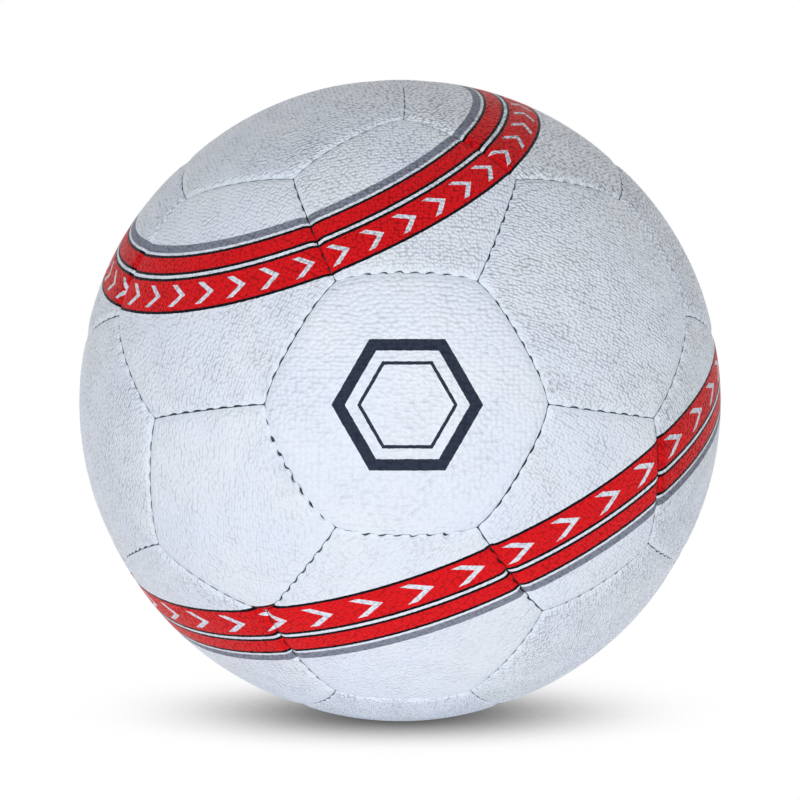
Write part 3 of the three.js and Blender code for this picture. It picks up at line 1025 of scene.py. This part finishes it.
def valve_body():
    bore, head = CORE_RADIUS + VALVE_FIT, CORE_HEAD_RADIUS + VALVE_FIT
    seat = VALVE_FACE - CORE_HEAD_LENGTH - VALVE_FIT
    profile = [
        (bore, BOSS_END),
        (BOSS_RADIUS, BOSS_END),
        *on_sphere(FLANGE_UNDERSIDE, BOSS_RADIUS, FLANGE_RADIUS, 4),
        *on_sphere(FLANGE_TOP, FLANGE_RADIUS, VALVE_STEM, 6),
        (VALVE_STEM, VALVE_FACE),
        (head, VALVE_FACE),
        (head, seat),
        (bore, seat),
    ]
    return turned("valve_body", profile, (1, 5, 6, 12, 13))


def valve_core():
    seat = VALVE_FACE - CORE_HEAD_LENGTH
    dimple = [(DIMPLE_RADIUS * t, VALVE_FACE - DIMPLE_DEPTH * (1 - t**2) ** DIMPLE_POWER)
              for t in np.linspace(1, 0, DIMPLE_STEPS)]
    profile = [
        (0, BOSS_END),
        (CORE_RADIUS, BOSS_END),
        (CORE_RADIUS, seat),
        (CORE_HEAD_RADIUS, seat),
        (CORE_HEAD_RADIUS, VALVE_FACE),
        *dimple,
    ]
    return turned("valve_core", profile, (1, 4))


valve_rubber = rubber("valve_rubber", (132, 136, 142), (152, 156, 162), 0.50)
core_rubber = rubber("valve_core_rubber", (205, 208, 211), (222, 225, 228), 0.45)
show("valve_stem", valve_body(), [valve_rubber], "valve_body")
show("valve_plug", valve_core(), [core_rubber], "valve_core")

# The bladder is hidden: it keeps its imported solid
bladder = frame["nodes"]["bladder"].data
bladder.materials.clear()
bladder.materials.append(rubber("bladder_rubber", (36, 37, 40), (52, 53, 57), 0.50))


# Floor, light and camera

FLOOR_SIZE = 3.0
FLOOR_ALBEDO = 0.94  # as the object is lit by it
FLOOR_GLOW = 0.37  # glow of the floor itself, with no lamp under it, that lights the object's underside
FLOOR_LEAN = (0, -0.466, 0)  # the sky is judged towards the front, so the shadow falls to the back
FLOOR_REACH = 0.3  # how far the shadow reaches
FLOOR_SAMPLES = 16
FLOOR_OPEN = (-0.06, 0.67)  # share of the sky over the floor that leaves it black, and white
LAMP_PLACE = (-0.13, -1.30, 0.07)
LAMP_SIZE = (1.5, 0.3)
LAMP_POWER = 6.8
HORIZON = 0.62  # strength of the sky that lights the object, at its foot and from ZENITH_FROM upwards
ZENITH = 0.36
ZENITH_FROM = 0.8


def floor():
    bm = bmesh.new()
    bmesh.ops.create_grid(bm, x_segments=1, y_segments=1, size=FLOOR_SIZE,
                          matrix=Matrix.Translation((0, 0, -radius)))
    mesh = bpy.data.meshes.new("floor")
    bm.to_mesh(mesh)
    bm.free()
    shader = Shader("floor")
    path = shader.add("LightPath")
    seen = shader.math("MAXIMUM", path.outputs["Is Camera Ray"], path.outputs["Is Glossy Ray"])
    seen = shader.math("MAXIMUM", seen, path.outputs["Is Transmission Ray"])
    lean = shader.vector("ADD", shader.add("NewGeometry").outputs["Normal"], FLOOR_LEAN)
    inputs = {"Distance": FLOOR_REACH, "Normal": shader.vector("NORMALIZE", lean)}
    sky = shader.add("AmbientOcclusion", inputs, samples=FLOOR_SAMPLES).outputs["AO"]
    unseen = shader.math("SUBTRACT", 1.0, seen)
    diffuse = shader.add("BsdfDiffuse", {"Color": shader.math("MULTIPLY", unseen, FLOOR_ALBEDO)})
    # The camera sees the floor as emission, white away from the ball, with its shadow painted in from
    # ambient occlusion and not cast by the lamp
    shaded = shader.math("MULTIPLY", shader.ramp(sky, *FLOOR_OPEN), seen)
    glow_and_painted_shadow = shader.math("MULTIPLY_ADD", unseen, FLOOR_GLOW, shaded)
    emission = shader.add("Emission", {"Strength": glow_and_painted_shadow})
    both = shader.add("AddShader", {0: diffuse.outputs["BSDF"], 1: emission.outputs["Emission"]})
    shader.tree.nodes.remove(shader.shader)
    shader.feed(shader.tree.nodes["Material Output"].inputs["Surface"], both.outputs["Shader"])
    mesh.materials.append(shader.material)
    obj = bpy.data.objects.new("floor", mesh)
    bpy.context.scene.collection.objects.link(obj)


def front_lamp():
    data = bpy.data.lights.new("front_lamp", "AREA")
    data.shape = "RECTANGLE"
    data.size, data.size_y = LAMP_SIZE
    data.energy = LAMP_POWER
    lamp = bpy.data.objects.new("front_lamp", data)
    lamp.location = LAMP_PLACE
    lamp.rotation_euler = (-Vector(LAMP_PLACE)).to_track_quat("-Z", "Y").to_euler()
    bpy.context.scene.collection.objects.link(lamp)


def world():
    made = bpy.data.worlds.new("studio")
    made.use_nodes = True
    tree = made.node_tree
    background = tree.nodes["Background"]
    place = tree.nodes.new("ShaderNodeTexCoord")
    split = tree.nodes.new("ShaderNodeSeparateXYZ")
    ramp = tree.nodes.new("ShaderNodeMapRange")
    path = tree.nodes.new("ShaderNodeLightPath")
    shiny, seen = (tree.nodes.new("ShaderNodeMath") for _ in range(2))
    mix = tree.nodes.new("ShaderNodeMix")
    tree.links.new(place.outputs["Generated"], split.inputs[0])
    tree.links.new(split.outputs["Z"], ramp.inputs["Value"])
    ramp.inputs["From Min"].default_value = 0.0
    ramp.inputs["From Max"].default_value = ZENITH_FROM
    ramp.inputs["To Min"].default_value = HORIZON
    ramp.inputs["To Max"].default_value = ZENITH
    for node, a, b in ((shiny, path.outputs["Is Glossy Ray"], path.outputs["Is Transmission Ray"]),
                       (seen, path.outputs["Is Camera Ray"], shiny.outputs[0])):
        node.operation = "MAXIMUM"
        tree.links.new(a, node.inputs[0])
        tree.links.new(b, node.inputs[1])
    tree.links.new(seen.outputs[0], mix.inputs["Factor"])
    tree.links.new(ramp.outputs["Result"], mix.inputs["A"])
    mix.inputs["B"].default_value = 1.0
    background.inputs["Color"].default_value = (1, 1, 1, 1)
    tree.links.new(mix.outputs["Result"], background.inputs["Strength"])
    bpy.context.scene.world = made


def camera():
    data = bpy.data.cameras.new("camera")
    data.lens = CAMERA_LENS
    data.sensor_width = CAMERA_SENSOR
    made = bpy.data.objects.new("camera", data)
    made.location = CAMERA_PLACE
    made.rotation_euler = (-Vector(CAMERA_PLACE)).to_track_quat("-Z", "Y").to_euler()
    bpy.context.scene.collection.objects.link(made)
    bpy.context.scene.camera = made


floor()
front_lamp()
world()
camera()
bpy.context.scene.view_settings.view_transform = "Standard"
